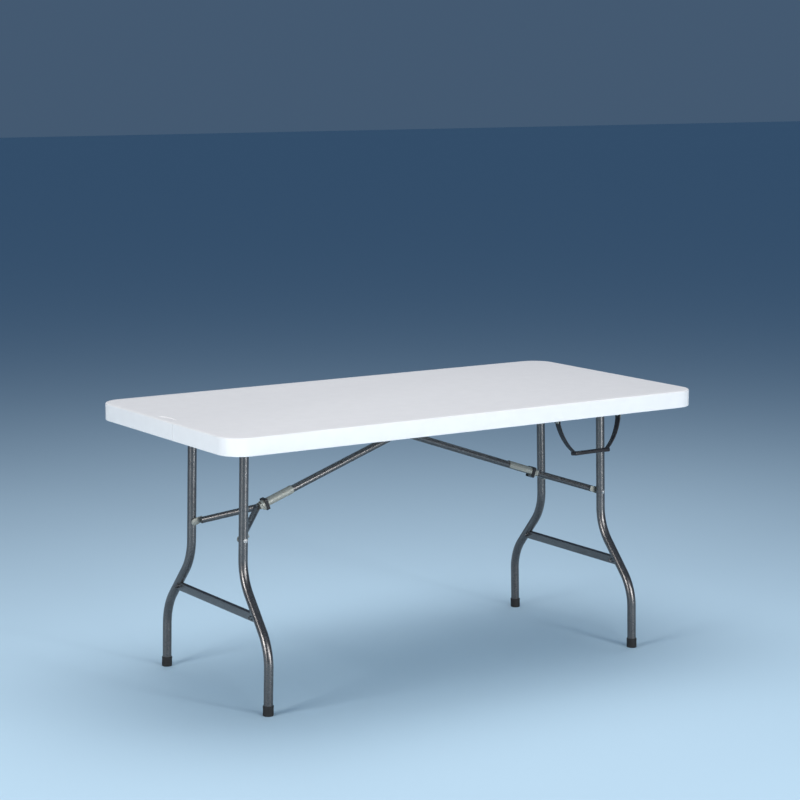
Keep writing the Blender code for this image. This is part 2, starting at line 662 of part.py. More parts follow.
def handle():
    """Moulded strap handle on two pins under the front edge, hanging a little outwards at rest."""
    y = -(WIDTH / 2 - HANDLE_PIVOT_INSET)
    z = UNDERSIDE - HANDLE_PIVOT_DROP
    hang = empty("handle_pivot", (HANDLE_CENTRE, y, z))
    hang.rotation_euler.x = -math.radians(HANDLE_REST)
    top, grip = HANDLE_TOP_SPAN / 2, HANDLE_GRIP_SPAN / 2
    points = [(-top, 0.006), (-top, -0.010)]
    points += [(-grip - 0.004, -HANDLE_DROP + 0.006), (-grip + 0.003, -HANDLE_DROP)]
    points += [(-u, v) for u, v in reversed(points)]
    half = STRAP_WIDTH / 2
    band = slab(strap_outline(points, STRAP_THICKNESS / 2), -half, half)
    strap = add("handle_strap", band, BLACK_PLASTIC, hang, smooth=False)
    sleeve = slab(grip_outline(), -grip + 0.008, grip - 0.008, "X")
    sleeve = add("handle_grip", sleeve, BLACK_PLASTIC, hang, smooth=False)
    thick = STRAP_THICKNESS / 2 + GAP
    low = (-grip, -half - GAP, -HANDLE_DROP - thick)
    high = (grip, half + GAP, -HANDLE_DROP + thick)
    cut(sleeve, add("handle_grip_room", block(low, high), BLACK_PLASTIC, hang))
    for side, where in ((-1, "left"), (1, "right")):
        place = Vector((HANDLE_CENTRE + side * top, y, z))
        near = STRAP_THICKNESS / 2 + 0.001
        bore = PIN_RADIUS + GAP
        hole = [(-side * 0.006, bore), (side * (near + HANDLE_PLATE + 0.004), bore)]
        cutter = add(f"handle_{where}_hole", turned(hole, FINE, place, "X"), STEEL)
        cut(strap, cutter)
        flange = side * (near + HANDLE_PLATE)
        foot = flange - side * HANDLE_FLANGE
        up = RAIL_TOP - z
        outline = [
            (side * near, -0.006), (flange, -0.006), (flange, up), (foot, up),
            (foot, up - HANDLE_PLATE), (side * near, up - HANDLE_PLATE),
        ]
        outline = [(place.x + u, place.z + v) for u, v in outline]
        plate = slab(outline, y - HANDLE_PLATE_HALF, y + HANDLE_PLATE_HALF)
        bracket = add(f"handle_{where}_bracket", plate, ZINC, smooth=False)
        cut(bracket, cutter)
        inner = -side * (STRAP_THICKNESS / 2 + GAP)
        outer = side * (near + HANDLE_PLATE + GAP)
        head = PIN_RADIUS * 1.8
        profile = [
            (inner - side * 0.0018, head * 0.7), (inner, head), (inner, PIN_RADIUS),
            (outer, PIN_RADIUS), (outer, head), (outer + side * 0.0018, head * 0.7),
        ]
        add(f"handle_{where}_pin", turned(profile, FINE, place, "X"), STEEL)


def grip_outline():
    """Rounded section of the grip, about the strap's middle line at the bottom of the handle."""
    outline = rounded_rectangle(GRIP_WIDTH / 2, GRIP_THICKNESS / 2, 0.003, 3)
    return [(u, v - HANDLE_DROP) for u, v in outline]


def leg_clip(name, way):
    """Pale plastic hook under the deck, which the folded leg nearest the middle snaps into."""
    y = way * LEG_FOOT_HALF_WIDTH
    stem = TUBE_RADIUS + CLIP_ROOM
    base = RAIL_TOP
    under = base - CLIP_WALL
    low = UNDERSIDE - CLIP_DROP
    floor = low + CLIP_WALL
    outline = [
        (-stem - CLIP_WALL, base), (stem, base), (stem, under), (-stem, under), (-stem, floor),
        (-stem + 0.010, floor), (-stem + 0.014, low + 0.006), (-stem + 0.016, low + 0.005),
        (-stem + 0.011, low), (-stem - CLIP_WALL, low),
    ]
    outline = [(y + way * u, z) for u, z in outline]
    half = CLIP_WIDTH / 2
    hook = slab(outline, CLIP_CENTRE - half, CLIP_CENTRE + half, "X")
    add(name, hook, PALE_PLASTIC, smooth=False)


def build():
    top = table_top()
    cut(top, dimple_cutter())
    for way, row in ((-1, "front"), (1, "rear")):
        rail = side_rail(f"{row}_side_rail", way)
        for side, where in ((-1, "left"), (1, "right")):
            x = side * RAIL_LENGTH / 2 * SCREW_SPREAD
            hole = rail_screw(f"{row}_{where}_rail_screw", x, way * (RAIL_OUTER - RAIL_WIDTH / 2))
            cut(top, hole)
            cut(rail, hole)
        leg_clip(f"{row}_leg_clip", way)
    for side, where in ((-1, "left"), (1, "right")):
        leg_frame(where, side)
        brace(where, side)
    handle()


build()
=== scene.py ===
"""Looks of a folding table with a moulded top and two folding steel leg frames, in metres."""

import json
import math

import bmesh
import bpy
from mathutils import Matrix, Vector


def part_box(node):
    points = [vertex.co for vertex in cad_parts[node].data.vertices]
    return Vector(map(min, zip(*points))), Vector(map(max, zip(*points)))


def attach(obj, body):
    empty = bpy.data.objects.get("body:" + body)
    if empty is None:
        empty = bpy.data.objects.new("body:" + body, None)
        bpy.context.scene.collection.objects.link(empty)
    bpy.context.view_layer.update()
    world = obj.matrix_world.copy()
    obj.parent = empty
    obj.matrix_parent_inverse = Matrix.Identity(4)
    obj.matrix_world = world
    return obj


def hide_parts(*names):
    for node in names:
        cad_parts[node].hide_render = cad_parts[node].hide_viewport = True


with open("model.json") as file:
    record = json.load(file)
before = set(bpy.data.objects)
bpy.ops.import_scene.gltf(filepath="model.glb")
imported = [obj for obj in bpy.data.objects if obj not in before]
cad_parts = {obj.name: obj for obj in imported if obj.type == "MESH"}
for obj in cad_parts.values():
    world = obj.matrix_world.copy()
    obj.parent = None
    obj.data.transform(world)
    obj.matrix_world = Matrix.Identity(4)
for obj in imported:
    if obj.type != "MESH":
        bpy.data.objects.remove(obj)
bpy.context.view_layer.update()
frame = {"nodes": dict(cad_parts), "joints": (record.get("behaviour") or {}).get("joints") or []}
nodes = frame["nodes"]
joints = {joint["name"]: joint for joint in frame["joints"]}

# ---- Camera, light and floor ----
# The table is seen from its front left, a little above the top, through a long lens, so its long
# sides stay nearly parallel.
eye = bpy.data.cameras.new("eye")
eye.lens = 97.9
eye.sensor_width = 36.0
eye.shift_y = -0.0175
camera = bpy.data.objects.new("camera", eye)
camera.location = (-3.333, -5.026, 1.682)
camera.rotation_euler = (math.radians(90 - 8.51), 0, math.radians(-33.47))
bpy.context.scene.collection.objects.link(camera)
bpy.context.scene.camera = camera
bpy.context.scene.view_settings.view_transform = "Standard"


def soft_box(name, place, aim, width, height, power, colour):
    """A studio light with a white cloth face, turned towards a point."""
    light = bpy.data.lights.new(name, "AREA")
    light.shape = "RECTANGLE"
    light.size = width
    light.size_y = height
    light.energy = power
    light.color = colour
    obj = bpy.data.objects.new(name, light)
    obj.location = place
    obj.rotation_euler = (Vector(aim) - Vector(place)).to_track_quat("-Z", "Y").to_euler()
    bpy.context.scene.collection.objects.link(obj)


soft_box("key", (-0.4, -5.2, 2.0), (0, 0, 0.6), 2.6, 2.0, 97, (0.98, 0.99, 1.0))
soft_box("strip", (1.0, -4.3, 0.9), (0, 0, 0.45), 0.60, 1.8, 74, (1.0, 1.0, 1.0))
soft_box("side", (-4.4, -0.9, 1.5), (0, 0, 0.6), 1.6, 1.6, 108, (1.0, 0.985, 0.97))
soft_box("overhead", (0.3, 0.4, 3.8), (0, 0, 0.7), 3.4, 2.6, 94, (1.0, 0.975, 0.965))

world = bpy.data.worlds.new("studio")
world.use_nodes = True
air = world.node_tree.nodes["Background"]
air.inputs["Color"].default_value = (0.16, 0.28, 0.46, 1)
air.inputs["Strength"].default_value = 0.36
bpy.context.scene.world = world

FLOOR_REACH = 40
floor_paint = bpy.data.materials.new("floor_paint")
floor_paint.use_nodes = True
floor_shader = floor_paint.node_tree.nodes["Principled BSDF"]
floor_shader.inputs["Base Color"].default_value = (0.52, 0.71, 0.84, 1)
floor_shader.inputs["Roughness"].default_value = 0.7
floor_corners = [(FLOOR_REACH * u, FLOOR_REACH * v, 0) for u, v in ((-1, -1), (1, -1), (1, 1), (-1, 1))]
floor_mesh = bpy.data.meshes.new("floor")
floor_mesh.from_pydata(floor_corners, [], [(0, 1, 2, 3)])
floor_mesh.materials.append(floor_paint)
floor = bpy.data.objects.new("floor", floor_mesh)
bpy.context.scene.collection.objects.link(floor)

# ---- The moulded top ----
# One blow-moulded plastic shell: a flat deck with a deep skirt round it. The skin has a fine
# pebble grain, and its underside is drawn up in square pockets that tie the two skins together.
CLEARANCE = 0.0003  # left between pieces that touch
TOP_EDGE = 0.0045  # round on the deck's edge
SKIRT_WALL = 0.022
SKIRT_FOOT = 0.0022  # small round on the skirt's lower edge
CORNER = 0.066
POCKET_PITCH = 0.050
POCKET_RIB = 0.0055
POCKET_DEPTH = 0.009
POCKET_DRAFT = 0.0045
MARK = (0.0145, 0.0435)  # half sizes of the oval dish near the left end
MARK_DEPTH = 0.0019
MARK_CENTRE = (0.022, 0.002)  # in from the left end, and from the middle line
SEAM = (-0.069, 0.0011, 0.0014)  # mould line down the left end: place, half width and depth


def rounded_outline(half_u, half_v, radius, steps):
    """Points (u, v) round a rectangle with round corners, about the origin."""
    points = []
    for quarter, (u, v) in enumerate(((1, 1), (-1, 1), (-1, -1), (1, -1))):
        for i in range(steps + 1):
            angle = math.radians(90 * quarter + 90 * i / steps)
            points.append((
                u * (half_u - radius) + radius * math.cos(angle),
                v * (half_v - radius) + radius * math.sin(angle),
            ))
    return points


def skin(rings, caps=True, loop=False):
    """A surface through rings of points, closed by end caps or by joining last to first."""
    bm = bmesh.new()
    rows = [[bm.verts.new(point) for point in ring] for ring in rings]
    pairs = list(zip(rows, rows[1:]))
    if loop:
        pairs.append((rows[-1], rows[0]))
    count = len(rows[0])
    for low, high in pairs:
        for i in range(count):
            j = (i + 1) % count
            bm.faces.new((low[i], low[j], high[j], high[i]))
    if caps and not loop:
        bm.faces.new(rows[0])
        bm.faces.new(rows[-1])
    return bm


def piece(name, bm, material, body, stands_for, sharp=32):
    """Turns a mesh into a piece that rides on a body and stands for its plain solids."""
    bm.normal_update()
    bmesh.ops.recalc_face_normals(bm, faces=bm.faces)
    mesh = bpy.data.meshes.new(name)
    bm.to_mesh(mesh)
    bm.free()
    mesh.materials.append(material)
    mesh.shade_smooth()
    mesh.set_sharp_from_angle(angle=math.radians(sharp))
    obj = bpy.data.objects.new(name, mesh)
    bpy.context.scene.collection.objects.link(obj)
    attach(obj, body)
    if stands_for:
        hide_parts(*stands_for)
    return obj


def grained(name, dark, light, rough, grain, depth, metallic=0.0, cells=False, specular=0.5):
    """A finish whose colour, gloss and surface vary: grain is in grains per metre."""
    material = bpy.data.materials.new(name)
    material.use_nodes = True
    tree = material.node_tree
    shader = tree.nodes["Principled BSDF"]
    shader.inputs["Metallic"].default_value = metallic
    shader.inputs["Specular IOR Level"].default_value = specular
    place = tree.nodes.new("ShaderNodeTexCoord")
    broad = tree.nodes.new("ShaderNodeTexNoise")
    broad.inputs["Scale"].default_value = grain / 18
    broad.inputs["Detail"].default_value = 4
    tint = tree.nodes.new("ShaderNodeMix")
    tint.data_type = "RGBA"
    tint.inputs["A"].default_value = (*dark, 1)
    tint.inputs["B"].default_value = (*light, 1)
    gloss = tree.nodes.new("ShaderNodeMapRange")
    gloss.inputs["From Min"].default_value = 0.3
    gloss.inputs["From Max"].default_value = 0.7
    gloss.inputs["To Min"].default_value = rough[0]
    gloss.inputs["To Max"].default_value = rough[1]
    if cells:
        fine = tree.nodes.new("ShaderNodeTexVoronoi")
        fine.feature = "SMOOTH_F1"
        height = fine.outputs["Distance"]
    else:
        fine = tree.nodes.new("ShaderNodeTexNoise")
        fine.inputs["Detail"].default_value = 2
        height = fine.outputs["Fac"]
    fine.inputs["Scale"].default_value = grain
    bump = tree.nodes.new("ShaderNodeBump")
    bump.inputs["Distance"].default_value = depth
    bump.inputs["Strength"].default_value = 1.0
    links = tree.links
    links.new(place.outputs["Object"], broad.inputs["Vector"])
    links.new(place.outputs["Object"], fine.inputs["Vector"])
    links.new(broad.outputs["Fac"], tint.inputs["Factor"])
    links.new(tint.outputs["Result"], shader.inputs["Base Color"])
    links.new(height, gloss.inputs["Value"])
    links.new(gloss.outputs["Result"], shader.inputs["Roughness"])
    links.new(height, bump.inputs["Height"])
    links.new(bump.outputs["Normal"], shader.inputs["Normal"])
    return material


pebbled_plastic = grained(
    "pebbled_plastic", (0.76, 0.755, 0.75), (0.82, 0.815, 0.81), (0.42, 0.58), 520, 0.00012,
    cells=True
)
low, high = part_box("table_top")
middle = (low + high) / 2
half_length = (high.x - low.x) / 2
half_width = (high.y - low.y) / 2
deck_top = high.z
skirt_bottom = low.z
deck_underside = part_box("front_side_rail")[1].z + CLEARANCE


def on_roof(face):
    """Whether a face is part of the flat roof of the hollow under the deck."""
    return all(abs(vert.co.z - deck_underside) < 1e-6 for vert in face.verts)


levels = []
for i in range(7):
    angle = math.radians(90 - 15 * i)
    levels.append((TOP_EDGE * (1 - math.cos(angle)), deck_top - TOP_EDGE * (1 - math.sin(angle))))
for i in range(5):
    angle = math.radians(22.5 * i)
    levels.append((SKIRT_FOOT * (1 - math.cos(angle)), skirt_bottom + SKIRT_FOOT * (1 - math.sin(angle))))
levels.append((SKIRT_WALL - 0.0012, skirt_bottom))
levels.append((SKIRT_WALL - 0.0004, skirt_bottom + 0.0006))
levels.append((SKIRT_WALL, skirt_bottom + 0.002))
levels.append((SKIRT_WALL, deck_underside))
rings = []
for inset, height in levels:
    outline = rounded_outline(half_length - inset, half_width - inset, CORNER - inset, 16)
    rings.append([Vector((u, v, height)) for u, v in outline])
bm = skin(rings)

# The roof of the hollow is cut into squares, and each square is drawn up as a tapered pocket.
for axis, reach in ((0, half_length), (1, half_width)):
    count = int(reach / POCKET_PITCH)
    for i in range(-count, count + 1):
        point, across = Vector(), Vector()
        point[axis] = (i + 0.5) * POCKET_PITCH
        across[axis] = 1
        faces = [face for face in bm.faces if on_roof(face)]
        edges = {edge for face in faces for edge in face.edges}
        verts = {vert for face in faces for vert in face.verts}
        bmesh.ops.bisect_plane(
            bm, geom=list(verts) + list(edges) + faces, dist=1e-6, plane_co=point, plane_no=across
        )
squares = []
for face in bm.faces:
    whole = len(face.verts) == 4 and abs(face.calc_area() - POCKET_PITCH**2) < 1e-7
    if whole and on_roof(face):
        squares.append(face)
bm.normal_update()
bmesh.ops.inset_individual(bm, faces=squares, thickness=POCKET_RIB / 2, use_even_offset=True)
bmesh.ops.inset_individual(bm, faces=squares, thickness=POCKET_DRAFT, use_even_offset=True)
for vert in {vert for face in squares for vert in face.verts}:
    vert.co.z += POCKET_DEPTH
moulded_top = piece(
    "moulded_top", bm, pebbled_plastic, "table", ["table_top"], sharp=50
)

# A shallow oval dish is pressed into the deck near the left end, and the mould leaves a fine
# upright line in the skirt under it.
dish_rings = []
for scale, rise in ((0.60, -1.0), (0.86, -0.9), (0.96, -0.45), (1.0, 0.0), (1.04, 1.0)):
    ring = []
    for k in range(64):
        angle = 2 * math.pi * k / 64
        ring.append(Vector((
            low.x + MARK_CENTRE[0] + MARK[0] * scale * math.cos(angle),
            MARK_CENTRE[1] + MARK[1] * scale * math.sin(angle),
            deck_top + MARK_DEPTH * rise,
        )))
    dish_rings.append(ring)
seam_y, seam_half, seam_depth = SEAM
seam_rings = []
for height in (skirt_bottom - 0.005, deck_top - TOP_EDGE):
    seam_rings.append([
        Vector((low.x - 0.004, seam_y - 0.004, height)),
        Vector((low.x + seam_depth, seam_y - seam_half, height)),
        Vector((low.x + seam_depth, seam_y + seam_half, height)),
        Vector((low.x - 0.004, seam_y + 0.004, height)),
    ])
tools = []
for tool_name, tool_rings in (("dish", dish_rings), ("seam", seam_rings)):
    tool_bm = skin(tool_rings)
    bmesh.ops.recalc_face_normals(tool_bm, faces=tool_bm.faces)
    tool_mesh = bpy.data.meshes.new(tool_name)
    tool_bm.to_mesh(tool_mesh)
    tool_bm.free()
    tool = bpy.data.objects.new(tool_name, tool_mesh)
    bpy.context.scene.collection.objects.link(tool)
    press = moulded_top.modifiers.new(tool_name, "BOOLEAN")
    press.operation = "DIFFERENCE"
    press.object = tool
    tools.append(tool)
bpy.context.view_layer.update()
graph = bpy.context.evaluated_depsgraph_get()
pressed = bpy.data.meshes.new_from_object(moulded_top.evaluated_get(graph))
moulded_top.modifiers.clear()
moulded_top.data = pressed
for tool in tools:
    bpy.data.objects.remove(tool)

# ---- Side rails ----
# A pressed steel channel along each long side, screwed up into the deck. It carries the cross
# tubes of the leg frames, and has the same hammered grey paint as the legs.
hammered_paint = grained(
    "hammered_paint", (0.092, 0.089, 0.090), (0.150, 0.142, 0.138), (0.24, 0.38), 460, 0.00012,
    metallic=0.8, cells=True
)
clear_coat = hammered_paint.node_tree.nodes["Principled BSDF"].inputs
clear_coat["Coat Weight"].default_value = 0.35
clear_coat["Coat Roughness"].default_value = 0.18


def keep_solid(name, material, edge):
    """Shows a frame solid as it is, with its finish and softened edges."""
    obj = nodes[name]
    obj.data.materials.clear()
    obj.data.materials.append(material)
    soften = obj.modifiers.new("edges", "BEVEL")
    soften.width = edge
    soften.segments = 3
    soften.limit_method = "ANGLE"
    soften.angle_limit = math.radians(40)
    soften.harden_normals = False


for row in ("front", "rear"):
    keep_solid(f"{row}_side_rail", hammered_paint, 0.0006)


def lathe(name, centre, profile, material, body, stands_for, axis="Y", loop=False):
    """A turned piece: profile lists (distance along the axis, radius) from the centre."""
    sides = 40
    turned = []
    for along, radius in profile:
        ring = []
        for k in range(sides):
            angle = 2 * math.pi * k / sides
            u, v = radius * math.cos(angle), radius * math.sin(angle)
            offset = {"X": (along, u, v), "Y": (u, along, v), "Z": (u, v, along)}[axis]
            ring.append(centre + Vector(offset))
        turned.append(ring)
    return piece(name, skin(turned, loop=loop), material, body, stands_for)


plated_steel = grained(
    "plated_steel", (0.34, 0.34, 0.34), (0.46, 0.46, 0.45), (0.34, 0.48), 900, 0.00003, metallic=1.0
)
for row in ("front", "rear"):
    for where in ("left", "right"):
        solid = f"{row}_{where}_rail_screw"
        low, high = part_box(solid)
        head = (high.x - low.x) / 2
        centre = Vector(((low.x + high.x) / 2, (low.y + high.y) / 2, low.z))
        profile = [
            (0.0003, head * 0.35), (0.0, head * 0.55), (0.0006, head * 0.80), (0.0014, head * 0.95),
            (0.0022, head), (0.0024, head * 0.98), (0.0024, head * 0.45), (high.z - low.z, head * 0.45),
        ]
        lathe(f"{solid}_round_head", centre, profile, plated_steel, "table", [solid], "Z")

# ---- Leg frames ----
# Each frame is bent from round steel tube: two legs with an S bend, welded to a cross tube that
# turns in the side rails and to a flattened cross bar lower down.
TUBE = 0.0125
SPLAY = math.radians(1.36)
LEG_TOP = 0.143  # from the middle line out to the leg, above the bend and below it
LEG_FOOT = 0.2835
BEND_RADIUS = 0.140
BEND = math.radians(41)
FOOT_STRAIGHT = 0.122
BAR_HEIGHT = 0.244
BAR_SECTION = (0.005, 0.013)  # half thickness and half depth
CAP_HEIGHT = 0.027


def swept(path, across, section, ends=0.0):
    """A bar along a flat path; across is the plane's normal and section lists (u, v) points."""
    rows = []
    last = len(path) - 1
    for i, point in enumerate(path):
        tangent = (path[min(i + 1, last)] - path[max(i - 1, 0)]).normalized()
        other = tangent.cross(across).normalized()
        rows.append([point + across * u + other * v for u, v in section])
    if ends:
        for row_index, step in ((0, 1), (last, -1)):
            tangent = (path[row_index + step] - path[row_index]).normalized()
            centre = path[row_index]
            small = [centre + (point - centre) * 0.9 for point in rows[row_index]]
            rows[row_index] = [point + tangent * ends for point in rows[row_index]]
            rows.insert(0 if step == 1 else len(rows), small)
    return skin(rows)


def circle(radius, sides=32):
    """Section of a round tube."""
    return [
        (radius * math.cos(2 * math.pi * k / sides), radius * math.sin(2 * math.pi * k / sides))
        for k in range(sides)
    ]


def weld(name, centre, axis, radius_u, radius_v, thick, body, seed):
    """A bead of weld round a joint, with the small ripples of a hand weld."""
    axis = axis.normalized()
    across = Vector((0, 1, 0)) if abs(axis.y) < 0.9 else Vector((1, 0, 0))
    u_way = axis.cross(across).normalized()
    v_way = axis.cross(u_way).normalized()
    rows = []
    count = 64
    for k in range(count):
        angle = 2 * math.pi * k / count
        out = (u_way * math.cos(angle) * radius_v + v_way * math.sin(angle) * radius_u)
        away = out.normalized()
        swell = thick * (1 + 0.16 * math.sin(angle * 17 + seed) + 0.06 * math.sin(angle * 5 + 2 * seed))
        ring = []
        for j in range(10):
            turn = 2 * math.pi * j / 10
            ring.append(centre + out + away * swell * math.cos(turn) + axis * swell * math.sin(turn))
        rows.append(ring)
    return piece(name, skin(rows, loop=True), hammered_paint, body, [], sharp=60)


moulded_rubber = grained(
    "moulded_rubber", (0.010, 0.010, 0.010), (0.022, 0.021, 0.021), (0.50, 0.68), 700, 0.00006,
    specular=0.3
)
bearing_plastic = grained(
    "bearing_plastic", (0.014, 0.014, 0.015), (0.026, 0.026, 0.027), (0.38, 0.5), 600, 0.00004
)


def leg_line(way, pivot, down_way):
    """Middle line of one leg, from just under the cross tube to inside the foot cap."""
    length = pivot.z / -down_way.z
    rise = LEG_FOOT - LEG_TOP
    slant = (rise - 2 * BEND_RADIUS * (1 - math.cos(BEND))) / math.sin(BEND)
    last = length - FOOT_STRAIGHT
    first = last - 2 * BEND_RADIUS * math.sin(BEND) - slant * math.cos(BEND)
    line = [(LEG_TOP, TUBE + CLEARANCE), (LEG_TOP, first * 0.5)]
    steps = 14
    for i in range(steps + 1):
        angle = BEND * i / steps
        line.append((LEG_TOP + BEND_RADIUS * (1 - math.cos(angle)), first + BEND_RADIUS * math.sin(angle)))
    for i in range(steps, -1, -1):
        angle = BEND * i / steps
        line.append((LEG_FOOT - BEND_RADIUS * (1 - math.cos(angle)), last - BEND_RADIUS * math.sin(angle)))
    line.append((LEG_FOOT, length - 0.006))
    return [pivot + down_way * down + Vector((0, way * y, 0)) for y, down in line], (first + last) / 2


for where, side in (("left", -1), ("right", 1)):
    body = f"{where}_leg_frame"
    pivot = Vector(joints[f"{where}_leg_fold"]["pos_m"])
    down_way = Vector((side * math.sin(SPLAY), 0, -math.cos(SPLAY)))
    across = Vector((math.cos(SPLAY), 0, side * math.sin(SPLAY)))

    low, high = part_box(f"{where}_pivot_tube")
    end = high.y
    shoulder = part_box("rear_side_rail")[0].y - 0.002
    stub = 0.0065
    profile = [
        (-end, stub * 0.85), (-end + 0.0008, stub), (-shoulder - 0.004, stub), (-shoulder, TUBE * 0.86),
        (-shoulder + 0.002, TUBE), (shoulder - 0.002, TUBE), (shoulder, TUBE * 0.86),
        (shoulder + 0.004, stub), (end - 0.0008, stub), (end, stub * 0.85),
    ]
    lathe(f"{where}_cross_tube", pivot, profile, hammered_paint, body, [f"{where}_pivot_tube"])

    bar_down = (pivot.z - BAR_HEIGHT) / math.cos(SPLAY)
    for way, row in ((-1, "front"), (1, "rear")):
        line, middle_down = leg_line(way, pivot, down_way)
        name = f"{where}_{row}"
        piece(f"{name}_bent_leg", swept(line, across, circle(TUBE)), hammered_paint, body,
              [f"{name}_leg"])
        weld(f"{name}_top_weld", line[0] - down_way * 0.0012, down_way, TUBE * 1.02, TUBE * 1.02,
             0.0022, body, side + way * 2)
        reach = (LEG_TOP + LEG_FOOT) / 2 + (bar_down - middle_down) * math.tan(BEND)
        bar_end = reach - (TUBE + 0.0004) / math.cos(BEND)
        slope = Vector((0, way * math.sin(BEND), 0)) + down_way * math.cos(BEND)
        normal = across.cross(slope)
        joint = pivot + down_way * bar_down + Vector((0, way * bar_end, 0))
        weld(f"{name}_bar_weld", joint, normal, BAR_SECTION[0] * 1.1,
             BAR_SECTION[1] / math.cos(BEND) * 1.02, 0.0019, body, side - way)

        # A moulded cup pushed on to the foot, with a rolled lip and a floor level with the ground.
        cup = [
            (0.0, 0.0125), (0.0004, 0.0135), (0.0016, 0.0143), (0.004, 0.0145), (0.0195, 0.0141),
            (0.0215, 0.0144), (0.0235, 0.0145), (0.0260, 0.0144), (0.0267, 0.0139), (CAP_HEIGHT, 0.0132),
            (0.0266, 0.0128), (0.005, 0.0128),
        ]
        rings = []
        for height, radius in cup:
            ring = []
            for k in range(48):
                angle = 2 * math.pi * k / 48
                x = radius * math.cos(angle)
                rib = 1 - 0.012 * (0.004 < height < 0.019) * (math.cos(angle * 24) > 0)
                down = (pivot.z - height + side * x * math.sin(SPLAY)) / math.cos(SPLAY)
                y = way * LEG_FOOT + radius * rib * math.sin(angle)
                ring.append(pivot + down_way * down + across * x * rib + Vector((0, y, 0)))
            rings.append(ring)
        piece(f"{name}_foot_cup", skin(rings), moulded_rubber, body, [f"{name}_foot_cap"])

        # The link bolt goes through the leg: a domed head outside, a spacer washer inside.
        solid = f"{name}_link_bolt"
        low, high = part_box(solid)
        centre = Vector(((low.x + high.x) / 2, 0, (low.z + high.z) / 2))
        inside = LEG_TOP - TUBE
        outside = LEG_TOP + TUBE
        profile = [
            (inside - 0.0022, 0.0054), (inside - 0.0020, 0.0057), (inside - 0.0005, 0.0057),
            (inside - 0.0003, 0.0054), (inside - 0.0003, 0.003), (outside + 0.0003, 0.003),
            (outside + 0.0003, 0.0060), (outside + 0.0009, 0.0060), (outside + 0.0009, 0.0048),
            (outside + 0.0017, 0.0045), (outside + 0.0025, 0.0036), (outside + 0.0030, 0.0022),
            (outside + 0.0031, 0.0009),
        ]
        profile = [(way * along, radius) for along, radius in profile]
        lathe(f"{name}_domed_bolt", centre, profile, plated_steel, body, [solid])

        # A black bearing sleeve lines the hole in the side rail.
        solid = f"{name}_pivot_bush"
        low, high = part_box(solid)
        near, far = (low.y, high.y) if way == 1 else (high.y, low.y)
        flange = (high.x - low.x) / 2
        profile = [
            (near, 0.0069), (near, flange - 0.0003), (near + way * 0.0003, flange),
            (near + way * 0.0010, flange), (near + way * 0.0012, 0.0083), (far - way * 0.0004, 0.0083),
            (far, 0.0080), (far, 0.0069),
        ]
        lathe(f"{name}_bearing_sleeve", pivot, profile, bearing_plastic, "table", [solid],
              loop=True)

    section = rounded_outline(BAR_SECTION[0], BAR_SECTION[1], BAR_SECTION[0] * 0.98, 8)
    low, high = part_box(f"{where}_cross_bar")
    reach = high.y - BAR_SECTION[1] * math.tan(BEND)
    rows = []
    for end_way in (-1, 1):
        ring = []
        for u, v in section:
            y = end_way * (reach + v * math.tan(BEND))
            ring.append(pivot + down_way * (bar_down + v) + across * u + Vector((0, y, 0)))
        rows.append(ring)
    piece(f"{where}_flat_bar", skin(rows), hammered_paint, body, [f"{where}_cross_bar"])

# ---- Braces ----
# A long round tube from a bracket under the deck to each leg frame. A zinc-plated channel is
# riveted over its lower end and holds the knuckle pin.
BRACE = 0.010
TUBE_PAST_PIN = 0.010
TUBE_STOP = 0.0135  # from the tube's lower end to the knuckle pin
zinc_plate = grained(
    "zinc_plate", (0.22, 0.23, 0.205), (0.32, 0.325, 0.295), (0.46, 0.62), 160, 0.00004,
    metallic=0.55
)
CHANNEL_WALL = 0.0018
CHANNEL_HALF = BRACE + CLEARANCE + CHANNEL_WALL
CHANNEL_BACK = 0.0937  # from the knuckle pin back to the channel's end
CHANNEL_FRONT = 0.009
CHEEK = 0.0075  # the cheeks end this far under the tube's middle line
EAR = 0.0055  # round of the cheeks about the knuckle pin
KNUCKLE_DROP = 0.009


def trough(drop):
    """Section (y, z) of the channel, round over the tube, with cheeks down to a depth."""
    lip = 0.0004
    outer, inner = [], []
    for radius, side_points in ((CHANNEL_HALF, outer), (CHANNEL_HALF - CHANNEL_WALL, inner)):
        side_points.append((-radius, -drop))
        side_points.append((-radius, -drop + lip * 2))
        for k in range(17):
            angle = math.pi - math.pi * k / 16
            side_points.append((radius * math.cos(angle), radius * math.sin(angle)))
        side_points.append((radius, -drop + lip * 2))
        side_points.append((radius, -drop))
    outer[0] = (outer[0][0] + lip, outer[0][1])
    outer[-1] = (outer[-1][0] - lip, outer[-1][1])
    return outer + inner[::-1]


def skin_open(rows):
    """A surface through folded-sheet sections, whose first half is the outer face."""
    bm = skin(rows, caps=False)
    bm.verts.ensure_lookup_table()
    count = len(rows[0])
    for first in (0, len(rows) * count - count):
        for i in range(count // 2 - 1):
            corners = (first + i, first + i + 1, first + count - 2 - i, first + count - 1 - i)
            bm.faces.new([bm.verts[k] for k in corners])
    return bm


channel_line = [
    (-CHANNEL_BACK, CHEEK - 0.003), (-CHANNEL_BACK + 0.0008, CHEEK - 0.0009),
    (-CHANNEL_BACK + 0.003, CHEEK), (-EAR - 0.004, CHEEK), (-EAR - 0.0002, CHEEK + 0.0006),
]
for k in range(9):
    angle = math.pi - math.pi * k / 8
    channel_line.append((EAR * math.cos(angle), KNUCKLE_DROP + EAR * math.sin(angle)))
channel_line += [
    (EAR + 0.0008, KNUCKLE_DROP * 0.4), (CHANNEL_FRONT - 0.0005, 0.0030), (CHANNEL_FRONT, 0.0022),
]

